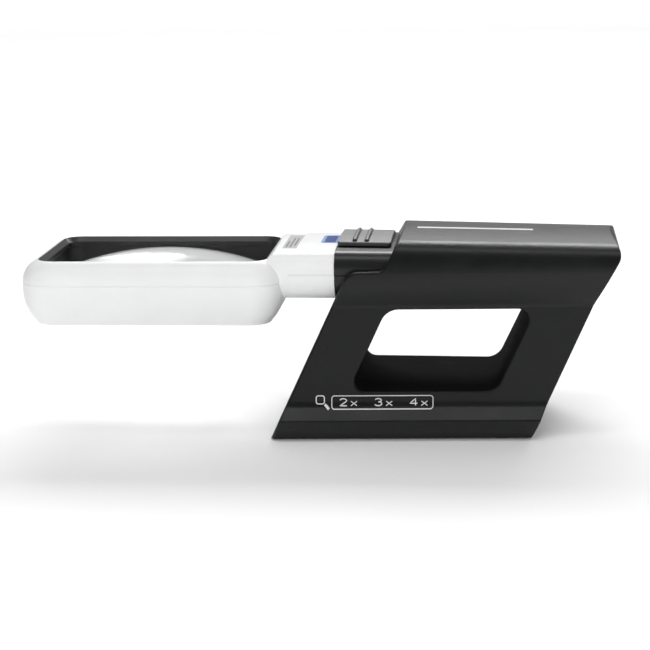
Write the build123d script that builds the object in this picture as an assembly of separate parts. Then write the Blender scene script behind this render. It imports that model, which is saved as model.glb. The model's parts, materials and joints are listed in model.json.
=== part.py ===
from build123d import *
import math
import os

os.makedirs("parts", exist_ok=True)

# Illuminated rectangular hand magnifier, parked in a slanted reading stand.
# X runs along the object (lens head at -X), Y across it, Z up from the table.
# Millimetres. The origin is the middle of the footprint's box, on the table.

# ---------------------------------------------------------------- driving sizes
OVERALL_LENGTH = 199.8
FIT_GAP = 0.45  # around the handle, all the way into the stand's socket

# Lens head: every frame in it turns its corners about the same four axes
HEAD_LENGTH = 88.0
HEAD_WIDTH = 62.4
HEAD_CORNER = 11.5
RIM_Z = 59.0
HEAD_SEAM_Z = 51.5
HOOD_Z = 37.6
OPENING_CORNER = 6.0

# Lens, a rectangular condenser of 75 x 50 mm class
LENS_CORNER = 5.2
LENS_TOP_Z = 58.2
LENS_BACK_Z = 42.1
LENS_TOP_RADIUS = 95.0
LENS_BACK_RADIUS = 260.0

# Handle: tapers towards its tail and parts at a seam half way up
HANDLE_BOTTOM_Z = 45.0
HANDLE_SEAM_Z = 54.2
HANDLE_TOP_Z = 62.2
HANDLE_HALF_WIDTH = 25.0
HANDLE_TAPER = 0.027  # half width lost per millimetre of length
HANDLE_TOP_FALL = 0.016  # height lost per millimetre of length
HANDLE_LENGTH = 73.0
HANDLE_CROWN = 1.1
HANDLE_WALL = 1.8
NECK_INSET = 0.4  # the white neck is this much slimmer than the black handle
SEAM_GAP = 0.3
SEAM_GROOVE = 0.2  # chamfer on each side of the white housing's seam

# Slide switch
SWITCH_LENGTH = 17.8
SWITCH_HALF_WIDTH = 13.4
SWITCH_HEIGHT = 1.5
SWITCH_TRAVEL = 1.2
SWITCH_REST_GAP = 0.3

# Battery compartment: AAA cells side by side
CELL_DIAMETER = 10.5
CELL_LENGTH = 43.5
CELL_NIPPLE = 1.0
CELL_NIPPLE_RADIUS = 1.9
CELL_PITCH = 11.4
CELL_COUNT = 3

# Stand: a slanted block with a hand window, and the handle's socket above it
STAND_LENGTH = 86.0
STAND_FRONT_X = -16.4
FRONT_SLANT = 0.4685  # X gained per millimetre of height
REAR_SLANT = 0.459
MOUTH_X = 28.0  # where the tube's top starts
STAND_TOP_Z = 66.2  # over the socket's mouth
STAND_TOP_FALL = 0.022
TUBE_HALF_WIDTH = 28.3
TUBE_TAPER = 0.03
WALL_HALF_WIDTH = 28.3  # at the window's sill, at the mouth end
WALL_TAPER = 0.045
WALL_DRAFT = 0.07
STAND_WALL = 2.5
WINDOW_SILL_Z = 15.7
WINDOW_HEAD_Z = 42.9
WINDOW_FRONT_X = 9.5  # at the sill
WINDOW_LENGTH = 48.6

# Base
FOOT_PAD_PROUD = 0.5
BASE_THICKNESS = 2.5
BASE_TOP_Z = FOOT_PAD_PROUD + BASE_THICKNESS

# ------------------------------------------------------------- derived stations
HEAD_X = -OVERALL_LENGTH / 2 + HEAD_LENGTH / 2
AXIS_X = HEAD_LENGTH / 2 - HEAD_CORNER
AXIS_Y = HEAD_WIDTH / 2 - HEAD_CORNER
HEAD_END_X = HEAD_X + HEAD_LENGTH / 2
JOINT_X = HEAD_END_X + 17.0
HANDLE_END_X = JOINT_X + HANDLE_LENGTH
STAND_REAR_X = STAND_FRONT_X + STAND_LENGTH


# --------------------------------------------------------------- shared helpers
def rounded_outline(*corners):
    """Closed outline through (u, v, radius) corners; a radius of 0 stays sharp."""
    face = make_face(Polyline(*[(u, v) for u, v, _ in corners], close=True).edges())
    for u, v, radius in corners:
        if radius:
            corner = face.vertices().sort_by_distance((u, v, 0))[0]
            face = fillet(corner, radius)
    return face


def side_profile(face, half_width=60.0):
    """Carry an outline drawn as (x, z) across the object."""
    return extrude(Plane.XZ * face, amount=half_width, both=True)


def block(x, y, z):
    """Box from its (low, high) limits along each axis."""
    size = [high - low for low, high in (x, y, z)]
    centre = [(low + high) / 2 for low, high in (x, y, z)]
    return Pos(*centre) * Box(*size)


def post(x, y, low, high, radius):
    """Upright cylinder."""
    return Pos(x, y, (low + high) / 2) * Cylinder(radius, high - low)


def one_node(solids):
    """Separate solids that share one node."""
    return Compound(children=list(solids))


def cross_screw(head_radius, head_height, shank_radius, length):
    """Cross-recessed screw, head up, with the head's underside at Z = 0."""
    head = Pos(0, 0, head_height / 2) * Cylinder(head_radius, head_height)
    head = chamfer(head.edges().group_by(Axis.Z)[-1], head_height * 0.3)
    shank = Pos(0, 0, -length / 2) * Cylinder(shank_radius, length)
    slot = Box(head_radius * 1.2, head_radius * 0.3, head_height)
    recess = Pos(0, 0, head_height) * (slot + Rot(0, 0, 90) * slot)
    return head + shank - recess


# --------------------------------------------------------------------- lens head
def head_frame(profile):
    """Carry a wall profile, (distance from a corner axis, z), once around the head."""
    wall = Plane.XZ * profile
    corner = Pos(AXIS_X, AXIS_Y, 0) * revolve(wall, axis=Axis.Z, revolution_arc=90)
    end = Pos(AXIS_X, 0, 0) * extrude(wall, amount=AXIS_Y, both=True)
    side = Pos(0, AXIS_Y, 0) * Rot(0, 0, 90) * extrude(wall, amount=AXIS_X, both=True)
    half = corner + mirror(corner, Plane.XZ) + end + side
    return Pos(HEAD_X, 0, 0) * (half + Rot(0, 0, 180) * half)


def head_block(corner_radius, low, high):
    """Solid of the head's plan shape with the given corner radius."""
    plan = RectangleRounded(2 * (AXIS_X + corner_radius), 2 * (AXIS_Y + corner_radius), corner_radius)
    return Pos(HEAD_X, 0, low) * extrude(plan, amount=high - low)


LIP_Z = RIM_Z - 1.8  # underside of the upper shell's lip
LIP_ROOT = OPENING_CORNER + 1.3
SHELL_INNER = HEAD_CORNER - 2.0
LEDGE_TOP_Z = 43.0
LEDGE_Z = 41.4
LEDGE_INNER = 4.0
LENS_SEAT = LENS_CORNER + 0.1  # inner face of what surrounds the lens
SKIRT_Z = 49.5  # foot of the black bezel, on the white wall around the lens


def upper_frame():
    """Convex upper rim, from the seam up to the black bezel."""
    groove_top = (HEAD_CORNER, HEAD_SEAM_Z + SEAM_GROOVE)
    outside = TangentArc(groove_top, (OPENING_CORNER, RIM_Z), tangent=(0, 1))
    inside = Polyline(
        (OPENING_CORNER, RIM_Z),
        (OPENING_CORNER, LIP_Z),
        (LIP_ROOT, LIP_Z),
        (SHELL_INNER, HEAD_SEAM_Z + 2.5),
        (SHELL_INNER, HEAD_SEAM_Z),
        (HEAD_CORNER - SEAM_GROOVE, HEAD_SEAM_Z),
        groove_top,
    )
    return head_frame(make_face(outside.edges() + inside.edges()))


def lower_frame():
    """Tapered light hood below the seam, with the ledge that carries the lens."""
    straight_z = HEAD_SEAM_Z - 2.5
    groove_bottom = (HEAD_CORNER, HEAD_SEAM_Z - SEAM_GROOVE)
    outside = Line(groove_bottom, (HEAD_CORNER, straight_z))
    flank = TangentArc((HEAD_CORNER, straight_z), (HEAD_CORNER - 4.2, HOOD_Z + 0.8), tangent=(0, -1))
    toe = RadiusArc(flank @ 1, (HEAD_CORNER - 5.3, HOOD_Z), 1.1)
    inside = Polyline(
        toe @ 1,
        (HEAD_CORNER - 6.6, HOOD_Z),
        (HEAD_CORNER - 4.5, LEDGE_Z),
        (LEDGE_INNER, LEDGE_Z),
        (LEDGE_INNER, LEDGE_TOP_Z),
        (LENS_SEAT, LEDGE_TOP_Z),
        (LENS_SEAT, SKIRT_Z - 0.1),
        (LENS_SEAT + 1.4, SKIRT_Z - 0.1),
        (LENS_SEAT + 1.4, LEDGE_TOP_Z),
        (HEAD_CORNER - 3.1, LEDGE_TOP_Z),
        (SHELL_INNER, straight_z),
        (SHELL_INNER, HEAD_SEAM_Z),
        (HEAD_CORNER - SEAM_GROOVE, HEAD_SEAM_Z),
        groove_bottom,
    )
    edges = outside.edges() + flank.edges() + toe.edges() + inside.edges()
    return head_frame(make_face(edges))


def make_lens_bezel():
    """Black frame: a sloped lip above the lens and a skirt around its upper edge."""
    lip_inner = OPENING_CORNER - 1.5
    skirt_outer = LIP_ROOT - 0.1
    return head_frame(make_face(Polyline(
        (OPENING_CORNER, RIM_Z - 0.1),
        (lip_inner, RIM_Z - 1.7),
        (lip_inner, RIM_Z - 3.0),
        (LENS_SEAT, RIM_Z - 3.8),
        (LENS_SEAT, SKIRT_Z),
        (skirt_outer, SKIRT_Z),
        (skirt_outer, LIP_Z),
        (OPENING_CORNER, LIP_Z),
        close=True,
    ).edges()))


def make_lens():
    """Rectangle cut from a convex-convex lens blank."""
    top = Pos(HEAD_X, 0, LENS_TOP_Z - LENS_TOP_RADIUS) * Sphere(LENS_TOP_RADIUS)
    back = Pos(HEAD_X, 0, LENS_BACK_Z + LENS_BACK_RADIUS) * Sphere(LENS_BACK_RADIUS)
    return head_block(LENS_CORNER, LENS_BACK_Z - 1, LENS_TOP_Z + 1) & top & back


# ------------------------------------------------------------ handle cross-section
def handle_section(x, grow=0.0):
    """Crowned, round-shouldered section of the handle at x, grown or shrunk all round."""
    run = max(x - JOINT_X, -20.0)
    half = HANDLE_HALF_WIDTH - HANDLE_TAPER * run + grow
    top = HANDLE_TOP_Z - HANDLE_TOP_FALL * run + grow
    bottom = HANDLE_BOTTOM_Z - grow
    shoulder = top - HANDLE_CROWN
    face = make_face(
        Polyline((-half, shoulder), (-half, bottom), (half, bottom), (half, shoulder)).edges()
        + ThreePointArc((half, shoulder), (0, top), (-half, shoulder)).edges()
    )
    face = fillet(face.vertices().group_by(Axis.Y)[-1], 5.5 + grow)
    face = fillet(face.vertices().group_by(Axis.Y)[0], 7.5 + grow)
    return Plane((x, 0, 0), x_dir=(0, 1, 0), z_dir=(1, 0, 0)) * face


def handle_run(start, end, grow=0.0):
    """Handle-shaped solid between two stations."""
    return loft([handle_section(start, grow), handle_section(end, grow)], ruled=True)


# -------------------------------------------------------------------- white neck
NECK_START_X = HEAD_X + AXIS_X + OPENING_CORNER
NECK_WALL = 2.0
RECESS_DEPTH = 1.1
RECESS_HALF_WIDTH = 14.4


def neck_outside():
    """Neck with a ramp at its root, up from the rim to the recessed top."""
    root_x = HEAD_X + AXIS_X + LIP_ROOT + 0.2
    shape = side_profile(rounded_outline(
        (NECK_START_X, RIM_Z, 0),
        (NECK_START_X + 4.0, HANDLE_TOP_Z + 0.4, 0),
        (JOINT_X, HANDLE_TOP_Z + 4.0, 0),
        (JOINT_X, HANDLE_BOTTOM_Z - 4.0, 0),
        (root_x, HANDLE_BOTTOM_Z - 4.0, 0),
        (root_x, LIP_Z, 0),
        (NECK_START_X, LIP_Z, 0),
    ))
    solid = extrude(handle_section(JOINT_X, -NECK_INSET), amount=-(JOINT_X - NECK_START_X)) & shape
    return solid - neck_recess() - neck_groove()


def neck_recess():
    """Shallow step in the neck's top, open to the head and to one side."""
    floor = HANDLE_TOP_Z - NECK_INSET - RECESS_DEPTH
    plan = make_face(Polyline(
        (NECK_START_X - 1, -RECESS_HALF_WIDTH),
        (HEAD_END_X + 3.6, -RECESS_HALF_WIDTH),
        (HEAD_END_X + 4.4, HANDLE_HALF_WIDTH),
        (NECK_START_X - 1, HANDLE_HALF_WIDTH),
        close=True,
    ).edges())
    return Pos(0, 0, floor) * extrude(plan, amount=5)


def neck_groove():
    """Fine groove along the neck's seam."""
    core = extrude(handle_section(JOINT_X + 1, -NECK_INSET - 1.5 * SEAM_GROOVE), amount=-40)
    height = (HANDLE_SEAM_Z - SEAM_GROOVE, HANDLE_SEAM_Z + SEAM_GROOVE)
    return block((HEAD_END_X + 2.0, JOINT_X + 1), (-60, 60), height) - core


def neck_inside():
    """Cable space in the neck, open to the head's wall and to the handle."""
    start = HEAD_X + AXIS_X + HEAD_CORNER - 2.6
    return extrude(handle_section(JOINT_X, -NECK_INSET - NECK_WALL), amount=-(JOINT_X - start))


def above_seam():
    """Everything above the housing's seam, which steps up at the neck's root."""
    return side_profile(rounded_outline(
        (-150, HEAD_SEAM_Z, 0),
        (HEAD_END_X - 1.5, HEAD_SEAM_Z, 0),
        (HEAD_END_X + 2.0, HANDLE_SEAM_Z, 0),
        (150, HANDLE_SEAM_Z, 0),
        (150, 90, 0),
        (-150, 90, 0),
    ))


BADGE_X = JOINT_X - 3.1
BADGE_Y = 2.4
BADGE_LENGTH = 4.0
BADGE_WIDTH = 14.0
BADGE_CORNER = 0.5
BADGE_DEPTH = 0.5
NECK_SCREW_X = HEAD_END_X + 10.0
NECK_SCREW_Y = 14.0
NECK_SCREW_HEAD = 1.9
NECK_SCREW_SHANK = 0.95
NECK_BOSS_RADIUS = 2.6
NECK_SCREW_SEAT_Z = HANDLE_BOTTOM_Z + NECK_INSET + 1.7

LED_Y = 6.0
LED_BOARD_X = HEAD_X + AXIS_X + 7.1
LED_BOARD_THICKNESS = 0.8
LED_BOARD_TOP_Z = 49.5
LED_Z = 41.0
LED_POD_INNER = 4.6
LED_POD_Z = HOOD_Z + 0.5


def badge_block(depth_below):
    """Plain inlay that follows the neck's crowned top."""
    plan = RectangleRounded(BADGE_LENGTH, BADGE_WIDTH, BADGE_CORNER)
    column = Pos(BADGE_X, BADGE_Y, HANDLE_TOP_Z - 3) * extrude(plan, amount=5)
    skin = handle_section(JOINT_X, -NECK_INSET)
    under = handle_section(JOINT_X, -NECK_INSET - depth_below)
    return column & extrude(skin - under, amount=-17)


def screw_sites():
    return [(NECK_SCREW_X, side * NECK_SCREW_Y) for side in (-1, 1)]


def make_head_upper_shell():
    """White upper housing: rim, neck top and the bosses that take the neck screws."""
    shell = (upper_frame() + neck_outside()) - neck_inside()
    shell -= head_block(LIP_ROOT - 0.1, HOOD_Z, LIP_Z)
    shell &= above_seam()
    for x, y in screw_sites():
        boss = post(x, y, HANDLE_SEAM_Z, HANDLE_TOP_Z - 2.4, NECK_BOSS_RADIUS)
        shell += boss - post(x, y, HANDLE_SEAM_Z - 1, HANDLE_TOP_Z - 5, NECK_SCREW_SHANK)
    return shell - badge_block(BADGE_DEPTH)


def led_pod():
    """Pocket under the lens ledge that aims the lamp down at the page."""
    inner = HEAD_X + AXIS_X + LED_POD_INNER
    outer = HEAD_X + AXIS_X + HEAD_CORNER - 3.2
    pod = block((inner, outer), (-LED_Y - 1.6, LED_Y + 1.6), (LED_POD_Z, LEDGE_TOP_Z))
    keep_in = head_block(HEAD_CORNER - 4.3, LED_POD_Z, LEDGE_TOP_Z)
    return pod & keep_in


def led_pocket():
    """Room for the lamp, its board and its window."""
    inner = HEAD_X + AXIS_X + LED_POD_INNER
    board_back = LED_BOARD_X + LED_BOARD_THICKNESS
    lamp_room = block((inner - 1, board_back), (-3.2, 3.2), (LED_Z - 1.3, LED_Z + 1.3))
    board_room = block((LED_BOARD_X, board_back), (-LED_Y, LED_Y), (LED_Z - 1.4, HEAD_SEAM_Z + 1))
    return lamp_room + board_room


def make_head_lower_shell():
    """White lower housing: light hood, lens ledge, lamp pod and neck underside."""
    neck = neck_outside() - neck_inside()
    neck -= head_block(LIP_ROOT - 0.1, HOOD_Z, RIM_Z + 5)
    shell = lower_frame() + (neck - above_seam()) + led_pod()
    lead_way = block((HEAD_END_X - 4.0, HEAD_END_X), (-4.0, 4.0), (47.6, 50.6))
    shell -= lead_way + led_pocket()
    for x, y in screw_sites():
        boss = post(x, y, HANDLE_BOTTOM_Z + 1, TONGUE_Z, NECK_BOSS_RADIUS)
        bore = post(x, y, HANDLE_BOTTOM_Z - 1, HANDLE_SEAM_Z + 1, NECK_SCREW_SHANK + 0.15)
        well = post(x, y, HANDLE_BOTTOM_Z - 1, NECK_SCREW_SEAT_Z, NECK_SCREW_HEAD + 0.2)
        shell += boss
        shell -= bore + well
    return shell


def make_neck_screws():
    screw = Rot(180, 0, 0) * cross_screw(NECK_SCREW_HEAD, 1.2, NECK_SCREW_SHANK, 9.6)
    return one_node(Pos(x, y, NECK_SCREW_SEAT_Z) * screw for x, y in screw_sites())


def make_neck_badge():
    return badge_block(BADGE_DEPTH)


# --------------------------------------------------------------------- lamp parts
def make_led_board():
    board_back = LED_BOARD_X + LED_BOARD_THICKNESS
    return block((LED_BOARD_X, board_back), (-LED_Y + 0.1, LED_Y - 0.1), (LED_Z - 1.3, LED_BOARD_TOP_Z))


def make_led():
    """Surface-mount lamp: square package with a small domed emitter."""
    package = block((LED_BOARD_X - 0.8, LED_BOARD_X), (-1.5, 1.5), (LED_Z - 1.2, LED_Z + 1.2))
    dome = Pos(LED_BOARD_X - 0.8, 0, LED_Z) * Sphere(0.75)
    return package + dome


def make_led_window():
    """Clear cover, flush with the pod's inner face."""
    inner = HEAD_X + AXIS_X + LED_POD_INNER
    return block((inner, inner + 0.9), (-3.1, 3.1), (LED_Z - 1.2, LED_Z + 1.2))


# ------------------------------------------------------------------ black handle
SWITCH_X = JOINT_X + SWITCH_REST_GAP
STEM_X = SWITCH_X + 8.0
STEM_HALF = 1.5
RIB_SPACING = 4.0
RIB_FIRST = 5.6
RIB_RADIUS = 0.8
RIB_HALF_LENGTH = 11.4

TRAY_FRONT_X = JOINT_X + 17.5
TRAY_WALL = 1.4
CELL_FRONT_X = TRAY_FRONT_X + TRAY_WALL + 1.2
CELL_Z = HANDLE_BOTTOM_Z + HANDLE_WALL + 0.5 + CELL_DIAMETER / 2
CONTACT_ROOM = 4.6
TRAY_END_X = CELL_FRONT_X + CELL_LENGTH + CELL_NIPPLE + CONTACT_ROOM + TRAY_WALL
TRAY_HALF_WIDTH = CELL_PITCH + CELL_DIAMETER / 2 + 1.2
TRAY_TOP_Z = CELL_Z + CELL_DIAMETER / 2 + 0.6
BOARD_Z = HANDLE_SEAM_Z
BOARD_THICKNESS = 1.2
BOARD_START_X = JOINT_X + 2.6
BOARD_END_X = TRAY_FRONT_X - 0.4
BOARD_HALF_WIDTH = 12.0
TRAY_SCREW_Y = TRAY_HALF_WIDTH + 1.6
TRAY_EAR_Z = HANDLE_SEAM_Z + 0.4  # top of the ears that the screws clamp
TRAY_EAR_THICKNESS = 1.6
TONGUE_Z = HANDLE_SEAM_Z - 1.6  # underside of the tray's tongue, which the neck clamps
TONGUE_HALF_WIDTH = 17.0
LEAD_RISE_X = BOARD_START_X + 2.0
CELL_ROWS = [(index - (CELL_COUNT - 1) / 2) * CELL_PITCH for index in range(CELL_COUNT)]


def handle_shell():
    """Hollow handle, closed at its tail, before it is parted at the seam."""
    outside = handle_run(JOINT_X, HANDLE_END_X)
    tail = outside.faces().sort_by(Axis.X)[-1]
    outside = fillet(tail.edges(), 1.6)
    inside = handle_run(JOINT_X - 1, HANDLE_END_X - HANDLE_WALL, -HANDLE_WALL)
    return outside - inside


def tray_screw_sites():
    stations = (TRAY_FRONT_X + 3.4, TRAY_END_X - 3.4)
    return [(x, side * TRAY_SCREW_Y) for x in stations for side in (-1, 1)]


def make_handle_upper_shell():
    """Upper half of the handle, slotted for the switch, with bosses for the tray."""
    seam = block((-150, 150), (-60, 60), (HANDLE_SEAM_Z, 90))
    shell = handle_shell() & seam
    slot = block(
        (STEM_X - STEM_HALF - SWITCH_REST_GAP, STEM_X + STEM_HALF + SWITCH_TRAVEL + SWITCH_REST_GAP),
        (-2.4 - SWITCH_REST_GAP, 2.4 + SWITCH_REST_GAP),
        (HANDLE_TOP_Z - 5, HANDLE_TOP_Z + 5),
    )
    shell -= slot
    inside = handle_run(JOINT_X, HANDLE_END_X - 1, -HANDLE_WALL + 0.4)
    for x, y in tray_screw_sites():
        boss = post(x, y, TRAY_EAR_Z, HANDLE_TOP_Z, 1.5) & inside
        shell += boss - post(x, y, TRAY_EAR_Z - 1, TRAY_EAR_Z + 3.0, 0.8)
    return shell


def make_battery_cover():
    """Lower half of the handle, which slides towards the tail to free the cells."""
    below = block((-150, 150), (-60, 60), (0, HANDLE_SEAM_Z - SEAM_GAP))
    front = block((JOINT_X + SEAM_GAP, 150), (-60, 60), (0, 90))
    return handle_shell() & below & front


def switch_skin(low, high):
    """Layer of the switch plate, following the crown of the handle."""
    end = SWITCH_X + SWITCH_LENGTH
    return handle_run(SWITCH_X, end, high) - handle_run(SWITCH_X - 1, end + 1, low)


def make_switch_slider():
    """Curved thumb plate with two grip ribs, and the stem that works the switch."""
    end = SWITCH_X + SWITCH_LENGTH
    plan = Pos((SWITCH_X + end) / 2, 0) * RectangleRounded(SWITCH_LENGTH, 2 * SWITCH_HALF_WIDTH, 0.9)
    column = Pos(0, 0, HANDLE_TOP_Z - 6) * extrude(plan, amount=12)
    plate = switch_skin(SWITCH_REST_GAP, SWITCH_HEIGHT) & column
    plate = chamfer(plate.faces().sort_by(Axis.Z)[-1].edges(), 0.25)
    for index in range(2):
        x = SWITCH_X + RIB_FIRST + index * RIB_SPACING
        plate += rib(x)
    stem = block(
        (STEM_X - STEM_HALF, STEM_X + STEM_HALF),
        (-2.4, 2.4),
        (BOARD_Z + BOARD_THICKNESS + 3.3, HANDLE_TOP_Z + 0.8),
    )
    return plate + stem


def rib(x):
    """Round-ended bar lying across the plate, bent to the plate's crown."""
    half = HANDLE_HALF_WIDTH
    radius = (half**2 + HANDLE_CROWN**2) / (2 * HANDLE_CROWN)
    top = HANDLE_TOP_Z + SWITCH_HEIGHT - HANDLE_TOP_FALL * (x - JOINT_X)
    angle = math.degrees(RIB_HALF_LENGTH / radius)
    path = CenterArc((0, 0, 0), radius, 90 - angle, 2 * angle)
    on_handle = Plane((x, 0, top - radius + 0.1), x_dir=(0, 1, 0), z_dir=(1, 0, 0))
    path = on_handle * path
    bar = sweep(Plane(path @ 0, z_dir=path % 0) * Circle(RIB_RADIUS), path=path)
    return bar + Pos(*(path @ 0)) * Sphere(RIB_RADIUS) + Pos(*(path @ 1)) * Sphere(RIB_RADIUS)


def make_switch_body():
    """Electrical slide switch soldered to the board, with its own small actuator well."""
    centre = STEM_X + SWITCH_TRAVEL / 2
    top = BOARD_Z + BOARD_THICKNESS + 3.0
    body = block((centre - 5.2, centre + 5.2), (-3.4, 3.4), (BOARD_Z + BOARD_THICKNESS, top))
    well = block((centre - 3.4, centre + 3.4), (-1.8, 1.8), (top - 1.2, top + 1))
    return body - well


def make_driver_board():
    width = (-BOARD_HALF_WIDTH, BOARD_HALF_WIDTH)
    board = block((BOARD_START_X, BOARD_END_X), width, (BOARD_Z, BOARD_Z + BOARD_THICKNESS))
    return chamfer(board.edges().filter_by(Axis.Z), 0.8)


def make_driver_components():
    """Coil, controller chip and capacitors of the lamp's current driver."""
    top = BOARD_Z + BOARD_THICKNESS
    coil = post(BOARD_START_X + 4.0, 8.0, top, top + 2.2, 2.2)
    chip = block((BOARD_START_X + 6.6, BOARD_START_X + 9.6), (-9.6, -6.6), (top, top + 1.0))
    spacing = 3.0
    capacitors = [
        block(
            (BOARD_START_X + 2.0, BOARD_START_X + 3.2),
            (-10.0 + index * spacing, -8.0 + index * spacing),
            (top, top + 0.9),
        )
        for index in range(2)
    ]
    return one_node([coil, chip, *capacitors])


def make_battery_tray():
    """Cradle over the cells: half bores above them and an upright wall at each end."""
    body = block((TRAY_FRONT_X, TRAY_END_X), (-TRAY_HALF_WIDTH, TRAY_HALF_WIDTH), (CELL_Z, TRAY_TOP_Z))
    bore_start = TRAY_FRONT_X + TRAY_WALL
    bore_end = TRAY_END_X - TRAY_WALL
    for y in CELL_ROWS:
        bore = Cylinder(CELL_DIAMETER / 2 + 0.15, bore_end - bore_start)
        body -= Pos((bore_start + bore_end) / 2, y, CELL_Z) * Rot(0, 90, 0) * bore
    floor = HANDLE_BOTTOM_Z + HANDLE_WALL + 1.2
    width = (-TRAY_HALF_WIDTH, TRAY_HALF_WIDTH)
    body += block((TRAY_FRONT_X, bore_start), width, (floor, CELL_Z))
    body += block((bore_end, TRAY_END_X), width, (floor, CELL_Z))
    tongue_width = (-TONGUE_HALF_WIDTH, TONGUE_HALF_WIDTH)
    body += block((NECK_SCREW_X - 3.2, TRAY_FRONT_X), tongue_width, (TONGUE_Z, HANDLE_SEAM_Z))
    body -= block((LEAD_RISE_X - 1.0, LEAD_RISE_X + 1.0), (-2.6, 2.6), (TONGUE_Z - 1, HANDLE_SEAM_Z + 1))
    for x, y in screw_sites():
        body -= post(x, y, TONGUE_Z - 1, HANDLE_SEAM_Z + 1, NECK_SCREW_SHANK + 0.15)
    ear_low = TRAY_EAR_Z - TRAY_EAR_THICKNESS
    for x, y in tray_screw_sites():
        ear = post(x, y, ear_low, TRAY_EAR_Z, 1.8)
        web = block((x - 1.8, x + 1.8), sorted((y, y * 0.9)), (ear_low, TRAY_EAR_Z))
        body += ear + web
    for x, y in tray_screw_sites():
        body -= post(x, y, ear_low - 1, TRAY_EAR_Z + 1, 0.95)
    return body


def make_tray_screws():
    screw = Rot(180, 0, 0) * cross_screw(1.5, 0.9, 0.8, 4.2)
    seat = TRAY_EAR_Z - TRAY_EAR_THICKNESS
    return one_node(Pos(x, y, seat) * screw for x, y in tray_screw_sites())


def make_battery_cell(y):
    """AAA cell, positive end towards the head."""
    can_middle_x = CELL_FRONT_X + CELL_NIPPLE + CELL_LENGTH / 2
    can = Pos(can_middle_x, y, CELL_Z) * Rot(0, 90, 0) * Cylinder(CELL_DIAMETER / 2, CELL_LENGTH)
    can = fillet(can.edges().filter_by(GeomType.CIRCLE), 0.4)
    nipple = Cylinder(CELL_NIPPLE_RADIUS, CELL_NIPPLE)
    return can + Pos(CELL_FRONT_X + CELL_NIPPLE / 2, y, CELL_Z) * Rot(0, 90, 0) * nipple


CONTACT_HALF = 3.6
CONTACT_THICKNESS = 0.4
CONTACT_DIMPLE = 0.8


def contact_plate(x, y):
    """Square plate at one end of a cell."""
    width = (y - CONTACT_HALF, y + CONTACT_HALF)
    return block((x, x + CONTACT_THICKNESS), width, (CELL_Z - CONTACT_HALF, CELL_Z + CONTACT_HALF))


def make_contact_plates():
    """Plates with a dimple that meets the cell's positive end."""
    start = TRAY_FRONT_X + TRAY_WALL
    dimple_x = start + CONTACT_THICKNESS + CONTACT_DIMPLE / 2
    dimple = Rot(0, 90, 0) * Cylinder(2 * CONTACT_DIMPLE, CONTACT_DIMPLE)
    return one_node([contact_plate(start, y) + Pos(dimple_x, y, CELL_Z) * dimple for y in CELL_ROWS])


def make_contact_springs():
    """Bowed leaf springs behind the cells' negative ends."""
    plate_x = TRAY_END_X - TRAY_WALL - CONTACT_THICKNESS
    root_x = plate_x + 0.1
    tip_x = plate_x - CONTACT_ROOM + 0.5
    leaf_thickness = 0.3
    half = CONTACT_HALF - 0.4
    inner_half = half - leaf_thickness
    low, high = (root_x, CELL_Z - half), (root_x, CELL_Z + half)
    inner_low, inner_high = (root_x, CELL_Z - inner_half), (root_x, CELL_Z + inner_half)
    bow = ThreePointArc(low, (tip_x, CELL_Z), high)
    inner = ThreePointArc(inner_high, (tip_x + leaf_thickness, CELL_Z), inner_low)
    sides = Line(high, inner_high).edges() + Line(inner_low, low).edges()
    profile = make_face(bow.edges() + inner.edges() + sides)
    leaf = extrude(Plane.XZ * profile, amount=2.2, both=True)
    return one_node([contact_plate(plate_x, y) + Pos(0, y, 0) * leaf for y in CELL_ROWS])


def make_lead_wires():
    """Two insulated leads from the lamp board, along the neck and up to the driver."""
    lead_radius = 0.6
    bend = 2.5
    low = 49.0
    start_x = LED_BOARD_X + LED_BOARD_THICKNESS
    wires = []
    for y in (-1.2, 1.2):
        corners = (start_x, y, low), (LEAD_RISE_X, y, low), (LEAD_RISE_X, y, BOARD_Z)
        route = FilletPolyline(*corners, radius=bend)
        section = Plane((start_x, y, low), z_dir=(1, 0, 0)) * Circle(lead_radius)
        wires.append(sweep(section, path=route))
    return one_node(wires)


# ------------------------------------------------------------------------- stand
FOOT_EDGE_Z = 7.0
FLARE_Z = 11.5
CREASE_Z = 44.3
FOOT_OUT = 4.6  # how far the foot's edge stands out from the wall
FOOT_TUCK = 2.9
SECTION_ROUNDS = {"crease": 2.5, "flare": 3.0, "edge": 0.8}
FRONT_ROUND = 0.8  # on the front end and the mouth
WINDOW_ROUND = 0.6
REAR_ROUND = 0.3
SOCKET_END_WALL = 3.0
TUBE_CROWN = 1.0
SHOULDER_INSET = 7.5
CROWN_SLOPE = 2 * TUBE_CROWN / (TUBE_HALF_WIDTH - SHOULDER_INSET)


def between(a, b, share, push):
    """Point part of the way from a to b, pushed sideways along Y."""
    return (a[0] + (b[0] - a[0]) * share + push, a[1] + (b[1] - a[1]) * share)


def wall_half(x, z):
    """Half the distance between the stand's flat walls."""
    return WALL_HALF_WIDTH - WALL_TAPER * (x - WINDOW_FRONT_X) - WALL_DRAFT * (z - WINDOW_SILL_Z)


def stand_section(x, side=1):
    """Named corners, (y, z), of one half of the stand's cross-section at x."""
    run = x - MOUTH_X
    tube_half = TUBE_HALF_WIDTH - TUBE_TAPER * run
    top = STAND_TOP_Z - STAND_TOP_FALL * run
    edge_half = wall_half(x, FLARE_Z) + FOOT_OUT
    points = {
        "centre_low": (0, FOOT_PAD_PROUD),
        "toe": (edge_half - FOOT_TUCK, FOOT_PAD_PROUD),
        "edge": (edge_half, FOOT_EDGE_Z),
        "flare": (wall_half(x, FLARE_Z), FLARE_Z),
        "crease": (wall_half(x, CREASE_Z) + 0.2, CREASE_Z),
        "waist": (tube_half, 55.5),
        "shoulder": (tube_half - SHOULDER_INSET, top - TUBE_CROWN),
        "centre_top": (0, top),
    }
    return {name: (side * y, z) for name, (y, z) in points.items()}


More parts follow.
